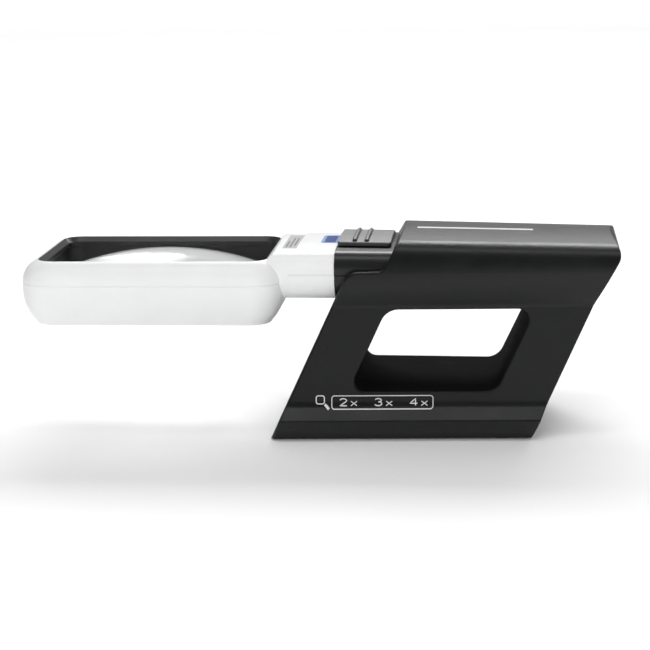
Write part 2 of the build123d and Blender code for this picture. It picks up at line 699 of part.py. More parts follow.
def stand_edges(x, side):
    p = stand_section(x, side)
    tuck = TangentArc(p["edge"], p["toe"], tangent=(-side * 0.1, -1))
    belly = ThreePointArc(p["crease"], between(p["crease"], p["waist"], 0.48, side * 0.95), p["waist"])
    shoulder = Spline(p["waist"], p["shoulder"], tangents=(belly % 1, (-side, CROWN_SLOPE)))
    pieces = [
        Line(p["centre_low"], p["toe"]),
        tuck,
        Line(p["edge"], p["flare"]),
        Line(p["flare"], p["crease"]),
        belly,
        shoulder,
    ]
    return [edge for piece in pieces for edge in piece.edges()]


def stand_face(x):
    high = stand_section(x)
    left, top = (-high["shoulder"][0], high["shoulder"][1]), high["centre_top"]
    crown = ThreePointArc(left, top, high["shoulder"])
    face = make_face(stand_edges(x, 1) + stand_edges(x, -1) + crown.edges())
    for side in (-1, 1):
        corners = stand_section(x, side)
        for name, radius in SECTION_ROUNDS.items():
            corner = face.vertices().sort_by_distance((*corners[name], 0))[0]
            face = fillet(corner, radius)
    return Plane((x, 0, 0), x_dir=(0, 1, 0), z_dir=(1, 0, 0)) * face


def on_slant(foot_x, slant, z):
    return foot_x + slant * z


def stand_outline():
    """Side view: slanted ends, and a mouth cut back so that the thumb reaches the switch."""
    shelf_z = 55.7
    top_z = STAND_TOP_Z + 2.0
    rear_top_z = STAND_TOP_Z - STAND_TOP_FALL * (OVERALL_LENGTH / 2 - MOUTH_X) + 0.1
    return rounded_outline(
        (STAND_FRONT_X, 0, 0),
        (on_slant(STAND_FRONT_X, FRONT_SLANT, shelf_z), shelf_z, 5.0),
        (21.2, shelf_z + 0.3, 3.0),
        (MOUTH_X - 0.1, top_z, 0),
        (40.0, top_z, 0),
        (OVERALL_LENGTH / 2 + 1.4, rear_top_z, 4.5),
        (on_slant(STAND_REAR_X, REAR_SLANT, 45.0), 45.0, 30.0),
        (STAND_REAR_X, 0, 0),
    )


def window_outline():
    """Slanted hand window."""
    front, rear = WINDOW_FRONT_X, WINDOW_FRONT_X + WINDOW_LENGTH
    rise = FRONT_SLANT * (WINDOW_HEAD_Z - WINDOW_SILL_Z)
    return rounded_outline(
        (front, WINDOW_SILL_Z, 3.6),
        (rear, WINDOW_SILL_Z, 6.3),
        (rear + rise, WINDOW_HEAD_Z, 3.6),
        (front + rise, WINDOW_HEAD_Z, 6.3),
    )


def slab(front, rear, low, high, front_inset, rear_inset):
    """Slanted outline between two slants, inset from each."""
    return make_face(Polyline(
        (on_slant(front, FRONT_SLANT, low) + front_inset, low),
        (on_slant(rear, REAR_SLANT, low) - rear_inset, low),
        (on_slant(rear, REAR_SLANT, high) - rear_inset, high),
        (on_slant(front, FRONT_SLANT, high) + front_inset, high),
        close=True,
    ).edges())


def stand_hollow():
    """Moulding space inside the foot and in the two pillars beside the window."""
    inset = STAND_WALL * 1.1
    foot = slab(STAND_FRONT_X, STAND_REAR_X, BASE_TOP_Z - 1, WINDOW_SILL_Z - STAND_WALL, inset, inset)
    sill_offset = FRONT_SLANT * WINDOW_SILL_Z
    window_front = WINDOW_FRONT_X - sill_offset
    window_rear = window_front + WINDOW_LENGTH
    high = WINDOW_HEAD_Z - 1.0
    front = slab(STAND_FRONT_X, window_front, BASE_TOP_Z, high, inset, inset)
    rear = slab(window_rear, STAND_REAR_X, BASE_TOP_Z, high, inset, inset)
    return side_profile(foot) + side_profile(front) + side_profile(rear)


def hollow_width():
    """Loft of the walls' inside, a plain tapered trapezium."""
    faces = []
    for x in (-40, 110):
        half = WALL_HALF_WIDTH - WALL_TAPER * (x - WINDOW_FRONT_X) - STAND_WALL
        low_half = half + WALL_DRAFT * WINDOW_SILL_Z
        high_half = half - WALL_DRAFT * (50 - WINDOW_SILL_Z)
        corners = (-low_half, 0), (low_half, 0), (high_half, 50), (-high_half, 50)
        face = make_face(Polyline(*corners, close=True).edges())
        faces.append(Plane((x, 0, 0), x_dir=(0, 1, 0), z_dir=(1, 0, 0)) * face)
    return loft(faces, ruled=True)


def socket_space():
    """Room for the handle, ending in a slanted wall behind its tail."""
    start, end = STAND_FRONT_X - 5, 110
    tunnel = handle_run(start, end, FIT_GAP)
    rear_stop = make_face(Polyline(
        (-60, 20),
        (on_slant(STAND_REAR_X, REAR_SLANT, 20) - SOCKET_END_WALL, 20),
        (on_slant(STAND_REAR_X, REAR_SLANT, 80) - SOCKET_END_WALL, 80),
        (-60, 80),
        close=True,
    ).edges())
    return tunnel & side_profile(rear_stop)


BASE_SCREW_X = (STAND_FRONT_X + 20.0, STAND_REAR_X - 19.0)
BASE_SCREW_Y = 19.0
BASE_BOSS_RADIUS = 3.2
BASE_SCREW_HEAD = 2.4
BASE_SCREW_SHANK = 1.2
BASE_SCREW_SEAT_Z = FOOT_PAD_PROUD + 1.6
PAD_RADIUS = 4.5
PAD_X = (STAND_FRONT_X + 9.0, STAND_REAR_X - 7.5)
PAD_Y = 20.0
FOOT_RIM = 1.8  # left around the base plate


def base_screw_sites():
    return [(x, side * BASE_SCREW_Y) for x in BASE_SCREW_X for side in (-1, 1)]


def stand_outside():
    """Solid of the stand's outer shape, its ends softened, with the hand window."""
    body = loft([stand_face(-30), stand_face(110)], ruled=True)
    body &= side_profile(stand_outline())
    flank = [e for e in body.edges() if abs(e.center().Y) > 15 and e.center().Z > 1 and e.length < 60]
    middle = [e for e in body.edges() if abs(e.center().Y) < 1 and e.center().Z > RIM_Z]
    front = [e for e in flank + middle if e.center().X < MOUTH_X]
    rear = [e for e in flank if e.center().X > STAND_REAR_X]
    body = fillet(front, FRONT_ROUND)
    rear = [nearest_edge(body, edge) for edge in rear]
    body = fillet(rear, REAR_ROUND)
    before = [e.center() for e in body.edges()]
    body -= side_profile(window_outline())
    rim = [e for e in body.edges() if is_new(e, before) and abs(e.center().Y) > 15]
    return fillet(rim, WINDOW_ROUND)


def nearest_edge(body, edge):
    """The edge of body that is where the given edge was."""
    return min(body.edges(), key=lambda other: (other.center() - edge.center()).length)


def is_new(edge, centres):
    return all((edge.center() - centre).length > 0.01 for centre in centres)


def make_stand_shell():
    """One-piece black moulding: foot, walls, window tunnel and handle socket."""
    body = stand_outside() - socket_space()
    body -= stand_hollow() & hollow_width()
    body -= extrude(base_plan(0.0), amount=BASE_TOP_Z)
    for x, y in base_screw_sites():
        body += post(x, y, BASE_TOP_Z, WINDOW_SILL_Z - STAND_WALL + 0.5, BASE_BOSS_RADIUS)
    for x, y in base_screw_sites():
        body -= post(x, y, BASE_TOP_Z - 1, BASE_TOP_Z + 6.5, BASE_SCREW_SHANK)
    return body


def base_plan(inset):
    """Recess under the foot: a long trapezium that narrows towards the tail."""
    wall = FOOT_RIM + inset
    front_x = on_slant(STAND_FRONT_X, FRONT_SLANT, BASE_TOP_Z) + wall
    rear_x = STAND_REAR_X - wall
    front_half = stand_section(STAND_FRONT_X)["toe"][0] - wall
    rear_half = stand_section(STAND_REAR_X)["toe"][0] - wall
    return rounded_outline(
        (front_x, -front_half, 3.0),
        (rear_x, -rear_half, 3.0),
        (rear_x, rear_half, 3.0),
        (front_x, front_half, 3.0),
    )


def pad_sites():
    return [(x, side * PAD_Y) for x in PAD_X for side in (-1, 1)]


def make_base_plate():
    """Plate that closes the stand's underside, let into the foot."""
    plate = Pos(0, 0, FOOT_PAD_PROUD) * extrude(base_plan(0.15), amount=BASE_THICKNESS)
    plate = chamfer(plate.edges().group_by(Axis.Z)[0], 0.4)
    for x, y in base_screw_sites():
        plate -= post(x, y, 0, BASE_TOP_Z + 1, BASE_SCREW_SHANK + 0.2)
        plate -= post(x, y, 0, BASE_SCREW_SEAT_Z, BASE_SCREW_HEAD + 0.2)
    for x, y in pad_sites():
        plate -= post(x, y, 0, FOOT_PAD_PROUD + 0.8, PAD_RADIUS)
    return plate


def make_base_screws():
    screw = Rot(180, 0, 0) * cross_screw(BASE_SCREW_HEAD, 1.3, BASE_SCREW_SHANK, 7.0)
    return one_node(Pos(x, y, BASE_SCREW_SEAT_Z) * screw for x, y in base_screw_sites())


def make_foot_pads():
    return one_node(post(x, y, 0, FOOT_PAD_PROUD + 0.8, PAD_RADIUS) for x, y in pad_sites())


# ------------------------------------------------------------------------ output
def all_nodes():
    nodes = {
        "head_upper_shell": make_head_upper_shell(),
        "head_lower_shell": make_head_lower_shell(),
        "neck_screws": make_neck_screws(),
        "neck_badge": make_neck_badge(),
        "lens_bezel": make_lens_bezel(),
        "lens": make_lens(),
        "led_board": make_led_board(),
        "led": make_led(),
        "led_window": make_led_window(),
        "handle_upper_shell": make_handle_upper_shell(),
        "battery_cover": make_battery_cover(),
        "switch_slider": make_switch_slider(),
        "switch_body": make_switch_body(),
        "driver_board": make_driver_board(),
        "driver_components": make_driver_components(),
        "battery_tray": make_battery_tray(),
        "tray_screws": make_tray_screws(),
        "contact_plates": make_contact_plates(),
        "contact_springs": make_contact_springs(),
        "lead_wires": make_lead_wires(),
        "stand_shell": make_stand_shell(),
        "base_plate": make_base_plate(),
        "base_screws": make_base_screws(),
        "foot_pads": make_foot_pads(),
    }
    for index, y in enumerate(CELL_ROWS, start=1):
        nodes[f"battery_cell_{index}"] = make_battery_cell(y)
    return nodes


for name, shape in all_nodes().items():
    export_step(shape, f"parts/{name}.step")
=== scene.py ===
"""Looks for the hand magnifier in its reading stand: finishes, printed marks, studio and camera."""

import json
import math

import bpy
from mathutils import Matrix, Vector


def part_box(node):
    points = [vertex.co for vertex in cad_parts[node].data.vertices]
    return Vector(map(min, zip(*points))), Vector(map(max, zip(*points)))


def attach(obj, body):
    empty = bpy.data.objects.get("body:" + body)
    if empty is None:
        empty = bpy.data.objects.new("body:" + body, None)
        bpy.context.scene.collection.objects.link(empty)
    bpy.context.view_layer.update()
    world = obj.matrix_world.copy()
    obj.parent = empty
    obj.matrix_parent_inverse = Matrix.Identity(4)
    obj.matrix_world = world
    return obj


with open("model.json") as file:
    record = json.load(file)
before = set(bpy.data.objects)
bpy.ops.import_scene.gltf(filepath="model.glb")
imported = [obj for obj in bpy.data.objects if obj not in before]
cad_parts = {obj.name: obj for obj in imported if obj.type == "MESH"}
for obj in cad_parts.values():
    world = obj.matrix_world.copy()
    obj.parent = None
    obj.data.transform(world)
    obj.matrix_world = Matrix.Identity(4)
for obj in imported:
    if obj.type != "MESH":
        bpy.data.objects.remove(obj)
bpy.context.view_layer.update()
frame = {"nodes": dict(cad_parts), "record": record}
NODES = frame["nodes"]
MM = 0.001


# ---------------------------------------------------------------------- materials
NOISE_LOW = 0.3  # most of a noise lies between these two values
NOISE_HIGH = 0.7
FINE_DETAIL = 4.0
GRAIN_DETAIL = 3.0
SMOOTH_DETAIL = 2.0
MOTTLE_SIZE = 9 * MM
MOTTLE_GLOSS = 0.08  # how far the roughness of a moulding strays, as a part of itself
ACRYLIC_IOR = 1.49
ACRYLIC_MOTTLE = 20 * MM
ACRYLIC_HAZE = 1.5  # roughest place over the smoothest one
# Clear plastic gets a painted white reflection where it is seen edge on.
PAINTED_REFLECTION_START = 0.45  # slope away from the eye where the painted white reflection on clear plastic starts
PAINTED_REFLECTION_FULL = 0.75
CLEARNESS_UNDER_PAINTED_REFLECTION = 0.35
RIPPLE_SIZE = 12 * MM
RIPPLE_DEPTH = 0.002 * MM
SCRATCH_SIZE = 0.5 * MM
SCRATCH_DEPTH = 0.01 * MM
SCRATCH_STRETCH = (0.15, 1, 1)
SCRATCH_GLOSS = 0.2


def new_material(name):
    """Empty principled material, with its node tree and its shader."""
    material = bpy.data.materials.new(name)
    material.use_nodes = True
    tree = material.node_tree
    return material, tree, tree.nodes["Principled BSDF"]


def object_noise(tree, size, detail=SMOOTH_DETAIL, stretch=(1, 1, 1)):
    """Noise whose blobs are about `size` metres across, in the object's own space."""
    place = tree.nodes.new("ShaderNodeTexCoord")
    mapping = tree.nodes.new("ShaderNodeMapping")
    mapping.inputs["Scale"].default_value = stretch
    texture = tree.nodes.new("ShaderNodeTexNoise")
    texture.inputs["Scale"].default_value = 1.0 / size
    texture.inputs["Detail"].default_value = detail
    tree.links.new(place.outputs["Object"], mapping.inputs["Vector"])
    tree.links.new(mapping.outputs["Vector"], texture.inputs["Vector"])
    return texture.outputs["Fac"]


def spread(tree, value, low, high):
    """Map the middle of a noise to the range from low to high."""
    node = tree.nodes.new("ShaderNodeMapRange")
    node.inputs["From Min"].default_value = NOISE_LOW
    node.inputs["From Max"].default_value = NOISE_HIGH
    node.inputs["To Min"].default_value = low
    node.inputs["To Max"].default_value = high
    tree.links.new(value, node.inputs["Value"])
    return node.outputs["Result"]


def blend_colours(tree, value, first, second):
    """Colour that runs from first to second with a noise."""
    ramp = tree.nodes.new("ShaderNodeValToRGB")
    ramp.color_ramp.elements[0].position = NOISE_LOW
    ramp.color_ramp.elements[0].color = (*first, 1)
    ramp.color_ramp.elements[1].position = NOISE_HIGH
    ramp.color_ramp.elements[1].color = (*second, 1)
    tree.links.new(value, ramp.inputs["Fac"])
    return ramp.outputs["Color"]


def add_bump(tree, shader, value, depth):
    """Relief of the given depth in metres."""
    bump = tree.nodes.new("ShaderNodeBump")
    bump.inputs["Distance"].default_value = depth
    bump.inputs["Strength"].default_value = 1.0
    tree.links.new(value, bump.inputs["Height"])
    tree.links.new(bump.outputs["Normal"], shader.inputs["Normal"])


def moulded_plastic(name, colour, tint, roughness, grain_size, grain_depth, gloss=0.5, coat=0.0):
    """Injection-moulded plastic: faint mottling, uneven gloss and a fine tool grain."""
    material, tree, shader = new_material(name)
    mottle = object_noise(tree, MOTTLE_SIZE, detail=FINE_DETAIL)
    grain = object_noise(tree, grain_size, detail=GRAIN_DETAIL)
    tree.links.new(blend_colours(tree, mottle, colour, tint), shader.inputs["Base Color"])
    smoothest, roughest = roughness * (1 - MOTTLE_GLOSS), roughness * (1 + MOTTLE_GLOSS)
    tree.links.new(spread(tree, mottle, smoothest, roughest), shader.inputs["Roughness"])
    shader.inputs["Specular IOR Level"].default_value = gloss
    shader.inputs["Coat Weight"].default_value = coat
    shader.inputs["Coat Roughness"].default_value = roughness
    add_bump(tree, shader, grain, grain_depth)
    return material


def clear_plastic(name, tint, roughness):
    """Polished clear acrylic with a painted reflection: it turns diffuse white where it is seen edge on, in
    place of the white studio reflected in it and seen through it.
    """
    material, tree, shader = new_material(name)
    mottle = object_noise(tree, ACRYLIC_MOTTLE)
    tree.links.new(blend_colours(tree, mottle, tint, (1, 1, 1)), shader.inputs["Base Color"])
    tree.links.new(spread(tree, mottle, roughness, roughness * ACRYLIC_HAZE), shader.inputs["Roughness"])
    shader.inputs["IOR"].default_value = ACRYLIC_IOR
    # Painted reflection: transmission falls off edge on, so the white base colour shows there.
    slope = tree.nodes.new("ShaderNodeLayerWeight")
    slope.inputs["Blend"].default_value = 0.5
    clear = tree.nodes.new("ShaderNodeMapRange")
    clear.inputs["From Min"].default_value = PAINTED_REFLECTION_START
    clear.inputs["From Max"].default_value = PAINTED_REFLECTION_FULL
    clear.inputs["To Min"].default_value = 1.0
    clear.inputs["To Max"].default_value = CLEARNESS_UNDER_PAINTED_REFLECTION
    tree.links.new(slope.outputs["Facing"], clear.inputs["Value"])
    tree.links.new(clear.outputs["Result"], shader.inputs["Transmission Weight"])
    ripple = object_noise(tree, RIPPLE_SIZE)
    add_bump(tree, shader, ripple, RIPPLE_DEPTH)
    return material


def plated_metal(name, colour, tint, roughness):
    """Zinc or nickel plate with fine drawn scratches."""
    material, tree, shader = new_material(name)
    scratches = object_noise(tree, SCRATCH_SIZE, detail=FINE_DETAIL, stretch=SCRATCH_STRETCH)
    tree.links.new(blend_colours(tree, scratches, colour, tint), shader.inputs["Base Color"])
    smoothest, roughest = roughness * (1 - SCRATCH_GLOSS), roughness * (1 + SCRATCH_GLOSS)
    tree.links.new(spread(tree, scratches, smoothest, roughest), shader.inputs["Roughness"])
    shader.inputs["Metallic"].default_value = 1.0
    add_bump(tree, shader, scratches, SCRATCH_DEPTH)
    return material


MATERIALS = {
    "white_shell": moulded_plastic(
        "white_shell", (0.8, 0.803, 0.806), (0.83, 0.833, 0.836), roughness=0.34,
        grain_size=0.6 * MM, grain_depth=0.003 * MM,
    ),
    "black_bezel": moulded_plastic(
        "black_bezel", (0.018, 0.018, 0.019), (0.024, 0.024, 0.025), roughness=0.36,
        grain_size=0.4 * MM, grain_depth=0.01 * MM,
    ),
    "lens_acrylic": clear_plastic("lens_acrylic", (0.93, 0.94, 0.94), roughness=0.05),
    "black_handle": moulded_plastic(
        "black_handle", (0.005, 0.0055, 0.0055), (0.008, 0.0085, 0.0085), roughness=0.34,
        grain_size=0.45 * MM, grain_depth=0.012 * MM,
    ),
    "black_switch": moulded_plastic(
        "black_switch", (0.008, 0.0085, 0.0085), (0.012, 0.0125, 0.0125), roughness=0.42,
        grain_size=0.4 * MM, grain_depth=0.006 * MM, gloss=1.0, coat=0.6,
    ),
    "badge_blue": moulded_plastic(
        "badge_blue", (0.012, 0.05, 0.24), (0.02, 0.07, 0.29), roughness=0.3,
        grain_size=0.3 * MM, grain_depth=0.002 * MM, gloss=0.3,
    ),
    "stand_black": moulded_plastic(
        "stand_black", (0.003, 0.0033, 0.0036), (0.005, 0.0055, 0.006), roughness=0.4,
        grain_size=0.6 * MM, grain_depth=0.03 * MM, gloss=0.4,
    ),
    # Painted shade for the inside of the hand window: dull and without gloss, so those faces stay dark.
    "stand_window_painted_shade": moulded_plastic(
        "stand_window_painted_shade", (0.006, 0.006, 0.007), (0.008, 0.008, 0.009), roughness=1.0,
        grain_size=0.5 * MM, grain_depth=0.04 * MM, gloss=0.06,
    ),
    "base_black": moulded_plastic(
        "base_black", (0.016, 0.016, 0.017), (0.022, 0.022, 0.023), roughness=0.5,
        grain_size=0.4 * MM, grain_depth=0.02 * MM,
    ),
    "pad_rubber": moulded_plastic(
        "pad_rubber", (0.02, 0.02, 0.02), (0.03, 0.03, 0.03), roughness=0.8,
        grain_size=0.3 * MM, grain_depth=0.03 * MM, gloss=0.3,
    ),
    "screw_steel": plated_metal("screw_steel", (0.5, 0.5, 0.51), (0.6, 0.6, 0.61), roughness=0.32),
    "board_green": moulded_plastic(
        "board_green", (0.02, 0.14, 0.06), (0.03, 0.18, 0.08), roughness=0.3,
        grain_size=0.4 * MM, grain_depth=0.004 * MM,
    ),
    "component": moulded_plastic(
        "component", (0.04, 0.04, 0.045), (0.06, 0.06, 0.065), roughness=0.45,
        grain_size=0.2 * MM, grain_depth=0.006 * MM,
    ),
    "lamp": moulded_plastic(
        "lamp", (0.9, 0.82, 0.4), (0.95, 0.88, 0.5), roughness=0.35,
        grain_size=0.2 * MM, grain_depth=0.004 * MM,
    ),
    "lamp_window": clear_plastic("lamp_window", (0.96, 0.98, 1.0), roughness=0.06),
    "tray_plastic": moulded_plastic(
        "tray_plastic", (0.1, 0.1, 0.105), (0.13, 0.13, 0.135), roughness=0.5,
        grain_size=0.3 * MM, grain_depth=0.012 * MM,
    ),
    "cell_sleeve": moulded_plastic(
        "cell_sleeve", (0.07, 0.17, 0.13), (0.1, 0.22, 0.18), roughness=0.25,
        grain_size=0.4 * MM, grain_depth=0.002 * MM,
    ),
    "contact_metal": plated_metal("contact_metal", (0.7, 0.7, 0.68), (0.8, 0.8, 0.78), roughness=0.22),
    "lead_insulation": moulded_plastic(
        "lead_insulation", (0.45, 0.03, 0.03), (0.52, 0.05, 0.04), roughness=0.5,
        grain_size=0.3 * MM, grain_depth=0.004 * MM,
    ),
    "white_ink": moulded_plastic(
        "white_ink", (0.62, 0.62, 0.62), (0.7, 0.7, 0.7), roughness=0.5,
        grain_size=0.2 * MM, grain_depth=0.004 * MM,
    ),
    "pale_label": moulded_plastic(
        "pale_label", (0.4, 0.4, 0.405), (0.44, 0.44, 0.445), roughness=0.55,
        grain_size=0.3 * MM, grain_depth=0.004 * MM, gloss=0.2,
    ),
    "grey_ink": moulded_plastic(
        "grey_ink", (0.17, 0.17, 0.18), (0.21, 0.21, 0.22), roughness=0.55,
        grain_size=0.2 * MM, grain_depth=0.004 * MM, gloss=0.2,
    ),
    "pale_blue_ink": moulded_plastic(
        "pale_blue_ink", (0.16, 0.28, 0.55), (0.2, 0.33, 0.6), roughness=0.5,
        grain_size=0.3 * MM, grain_depth=0.002 * MM, gloss=0.2,
    ),
}


def dress(piece, finish):
    """Give a piece one of the finishes."""
    piece.data.materials.clear()
    piece.data.materials.append(MATERIALS[finish])


for subpart in frame["record"]["subparts"]:
    dress(NODES[subpart["node"]], subpart["material_slot"])


RIM_DEPTH = 7.5 * MM  # how far in from the foot's side the stand's own finish reaches, before the painted shade
WINDOW_MARGIN = 2.5 * MM  # how far past the declared openings the window's faces lie
MOST_SIDEWAYS = 0.3  # a face whose normal points further across than this is a wall's side


def paint_hand_window_shade(stand):
    """Painted shade: a dull, unreflecting finish on the stand's faces that look into the hand window, behind
    its rim.
    """
    openings = {opening["name"]: opening["box_m"] for opening in frame["record"]["physics"]["openings"]}
    bottom = openings["hand_window_low"][0][2] - WINDOW_MARGIN
    top = openings["hand_window_high"][1][2] + WINDOW_MARGIN
    window_low, window_high = openings["hand_window_middle"]
    centre = (Vector(window_low) + Vector(window_high)) / 2
    half_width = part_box("stand_shell")[1][1] - RIM_DEPTH
    stand.data.materials.append(MATERIALS["stand_window_painted_shade"])
    painted_shade_slot = len(stand.data.materials) - 1
    for face in stand.data.polygons:
        behind_rim = abs(face.center.y) < half_width
        at_window = bottom < face.center.z < top
        faces_along = abs(face.normal.y) < MOST_SIDEWAYS
        inward = centre - face.center
        inward.y = 0
        if behind_rim and at_window and faces_along and inward.dot(face.normal) > 0:
            face.material_index = painted_shade_slot


paint_hand_window_shade(NODES["stand_shell"])


# ------------------------------------------------------------------ printed marks
INK_DEPTH = 0.06 * MM
RAY_START = 100 * MM  # how far off the surface a ray starts that looks for it
DOWN = Vector((0, 0, -1))
BACK = Vector((0, 1, 0))
ARC_STEPS = 10
CORNER_STEPS = 6

# Sizes and places of the marks below are in millimetres, in the shared frame.
LONGEST_RUN = 0.8
FINE_LINE = 0.28
BOLD_LINE = 0.34
SCALE_MIDDLE = (20.75, 12.4)
SCALE_LENGTH = 33.3
SCALE_HEIGHT = 4.2
SCALE_CORNER = 0.9
SCALE_VALUES = "234"
FIRST_VALUE = -14.1  # from the middle of the scale
VALUE_SPACING = 11.6
DIGIT_WIDTH = 2.4
DIGIT_HEIGHT = 2.3
TIMES_OFFSET = 3.5
TIMES_WIDTH = 2.5
SYMBOL_MIDDLE = (0.3, 13.2)
SYMBOL_SIZE = 2.7
SYMBOL_CORNER = 0.7
SYMBOL_GRIP = (1.5, 2.9)  # start and end of the grip, down and to the right of the symbol's middle
GRIP_LINE = 0.8

STRIPE_START = 31.4
STRIPE_END = 70.1
STRIPE_WIDTH = 2.4

LABEL_X = -10.9
LABEL_ENDS = (-12.4, 16.2)
LABEL_WIDTH = 5.2
FIRST_BAR_X = -12.4
BAR_SPACING = 1.3
BAR_LINE = 0.6
BAR_ENDS = ((-8.0, 4.0), (-8.0, 10.5), (-5.0, 10.5))

BORDER_LINE = 0.9
BORDER_GAP = 0.06
BORDER_CORNER = 0.9


def arc(centre_x, centre_y, radius_x, radius_y, start, end, steps=ARC_STEPS):
    """Points of an elliptical arc between two angles in degrees."""
    angles = [math.radians(start + (end - start) * i / steps) for i in range(steps + 1)]
    return [(centre_x + radius_x * math.cos(a), centre_y + radius_y * math.sin(a)) for a in angles]


def rounded_box(centre_x, centre_y, width, height, radius):
    """Closed path round a rectangle with round corners."""
    across, up = width / 2 - radius, height / 2 - radius
    corners = ((across, up), (-across, up), (-across, -up), (across, -up))
    path = []
    for turn, (x, y) in enumerate(corners):
        path += arc(centre_x + x, centre_y + y, radius, radius, 90 * turn, 90 * turn + 90, steps=CORNER_STEPS)
    return path + path[:1]


# The strokes of each character, in a box one unit wide and one unit high.
GLYPHS = {
    "2": [arc(0.5, 0.72, 0.46, 0.28, 165, -35) + [(0.04, 0.0), (1.0, 0.0)]],
    "3": [arc(0.48, 0.76, 0.44, 0.24, 160, -90) + arc(0.48, 0.26, 0.5, 0.26, 90, -160)],
    "4": [[(0.76, 0.0), (0.76, 1.0), (0.0, 0.3), (1.0, 0.3)]],
    "x": [[(0.1, 0.0), (0.9, 0.62)], [(0.1, 0.62), (0.9, 0.0)]],
}


def glyph(character, left, bottom, width, height):
    """The strokes of one plain character, in its box."""
    return [[(left + x * width, bottom + y * height) for x, y in stroke] for stroke in GLYPHS[character]]


def divided(path):
    """The same path with its long runs divided, so that it can follow a curved surface."""
    points = [path[0]]
    for (ax, ay), (bx, by) in zip(path, path[1:]):
        steps = max(1, math.ceil(math.dist((ax, ay), (bx, by)) / LONGEST_RUN))
        points += [(ax + (bx - ax) * i / steps, ay + (by - ay) * i / steps) for i in range(1, steps + 1)]
    return points


def ribbon_edges(path, width):
    """Pairs of points on the two sides of a flat band along a path."""
    closed = path[0] == path[-1]
    last = len(path) - 1
    edges = []
    for i, point in enumerate(path):
        if closed:
            before, after = path[(i - 1) % last], path[(i + 1) % last]
        else:
            before, after = path[max(i - 1, 0)], path[min(i + 1, last)]
        along = (Vector(after) - Vector(before)).normalized()
        side = Vector((-along.y, along.x)) * width / 2
        edges.append((Vector(point) + side, Vector(point) - side))
    return edges


def printed(name, strokes, to_space, towards, node, body, finish, layer=1):
    """Thin ink that follows a CAD surface.

    Each stroke is a flat path and a width. to_space puts its points in space, and rays along towards carry
    them from there to the node's surface. Ink of layer 2 lies on ink of layer 1.
    """
    surface = NODES[node]
    places, quads = [], []
    for path, width in strokes:
        first = len(places)
        for pair in ribbon_edges(divided(path), width):
            for point in pair:
                start = to_space(point.x * MM, point.y * MM) - towards * RAY_START
                hit, place, normal, _ = surface.ray_cast(start, towards)
                if not hit:
                    raise ValueError(f"{name} runs off {node}")
                places.append(place + normal * INK_DEPTH * (layer - 0.5))
        count = (len(places) - first) // 2
        for corner in range(first, first + 2 * (count - 1), 2):
            quads.append((corner, corner + 1, corner + 3, corner + 2))
    mesh = bpy.data.meshes.new(name)
    mesh.from_pydata(places, [], quads)
    piece = bpy.data.objects.new(name, mesh)
    bpy.context.scene.collection.objects.link(piece)
    film = piece.modifiers.new("film", "SOLIDIFY")
    film.thickness = INK_DEPTH
    film.offset = 0
    dress(piece, finish)
    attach(piece, body)


def near_wall(x, z):
    """Point for a mark that is laid out on the stand's near wall."""
    return Vector((x, 0, z))


def top_side(x, y):
    """Point for a mark that is laid out on a top surface."""
    return Vector((x, y, 0))


def scale_strokes():
    """Rounded frame and its three plain values."""
    middle_x, middle_z = SCALE_MIDDLE
    bottom = middle_z - DIGIT_HEIGHT / 2
    strokes = [(rounded_box(middle_x, middle_z, SCALE_LENGTH, SCALE_HEIGHT, SCALE_CORNER), FINE_LINE)]
    for place, value in enumerate(SCALE_VALUES):
        left = middle_x + FIRST_VALUE + place * VALUE_SPACING
        digit = glyph(value, left, bottom, DIGIT_WIDTH, DIGIT_HEIGHT)
        times = glyph("x", left + TIMES_OFFSET, bottom, TIMES_WIDTH, DIGIT_HEIGHT)
        strokes += [(stroke, BOLD_LINE) for stroke in digit]
        strokes += [(stroke, FINE_LINE) for stroke in times]
    return strokes


def symbol_strokes():
    """Small square lens with a grip, set before the scale."""
    middle_x, middle_z = SYMBOL_MIDDLE
    lens = rounded_box(middle_x, middle_z, SYMBOL_SIZE, SYMBOL_SIZE, SYMBOL_CORNER)
    grip = [(middle_x + reach, middle_z - reach) for reach in SYMBOL_GRIP]
    return [(lens, BOLD_LINE), (grip, GRIP_LINE)]


def make_power_scale():
    """Framed row of three plain values on the stand's near wall, with a lens symbol before it."""
    strokes = scale_strokes() + symbol_strokes()
    printed("power_scale", strokes, near_wall, BACK, "stand_shell", "stand", "white_ink")


def make_accent_stripe():
    """Plain stripe along the top of the stand's socket."""
    strokes = [([(STRIPE_START, 0.0), (STRIPE_END, 0.0)], STRIPE_WIDTH)]
    printed("accent_stripe", strokes, top_side, DOWN, "stand_shell", "stand", "white_ink")


def make_neck_label():
    """Pale label in the neck's step, with plain grey bars on it."""
    label = [([(LABEL_X, y) for y in LABEL_ENDS], LABEL_WIDTH)]
    printed("neck_label", label, top_side, DOWN, "head_upper_shell", "magnifier", "pale_label")
    bars = []
    for row, ends in enumerate(BAR_ENDS):
        x = FIRST_BAR_X + BAR_SPACING * row
        bars.append(([(x, y) for y in ends], BAR_LINE))
    printed("neck_bars", bars, top_side, DOWN, "head_upper_shell", "magnifier", "grey_ink", 2)


def make_badge_border():
    """Pale border printed round the neck's badge."""
    low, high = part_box("neck_badge")
    middle_x = (low[0] + high[0]) / 2 / MM
    middle_y = (low[1] + high[1]) / 2 / MM
    length = (high[0] - low[0]) / MM
    width = (high[1] - low[1]) / MM
    grown = 2 * BORDER_GAP + BORDER_LINE
    border = [(rounded_box(middle_x, middle_y, length + grown, width + grown, BORDER_CORNER), BORDER_LINE)]
    printed(
        "badge_border", border, top_side, DOWN, "head_upper_shell", "magnifier",
        "pale_blue_ink",
    )


make_power_scale()
make_accent_stripe()
make_neck_label()
make_badge_border()


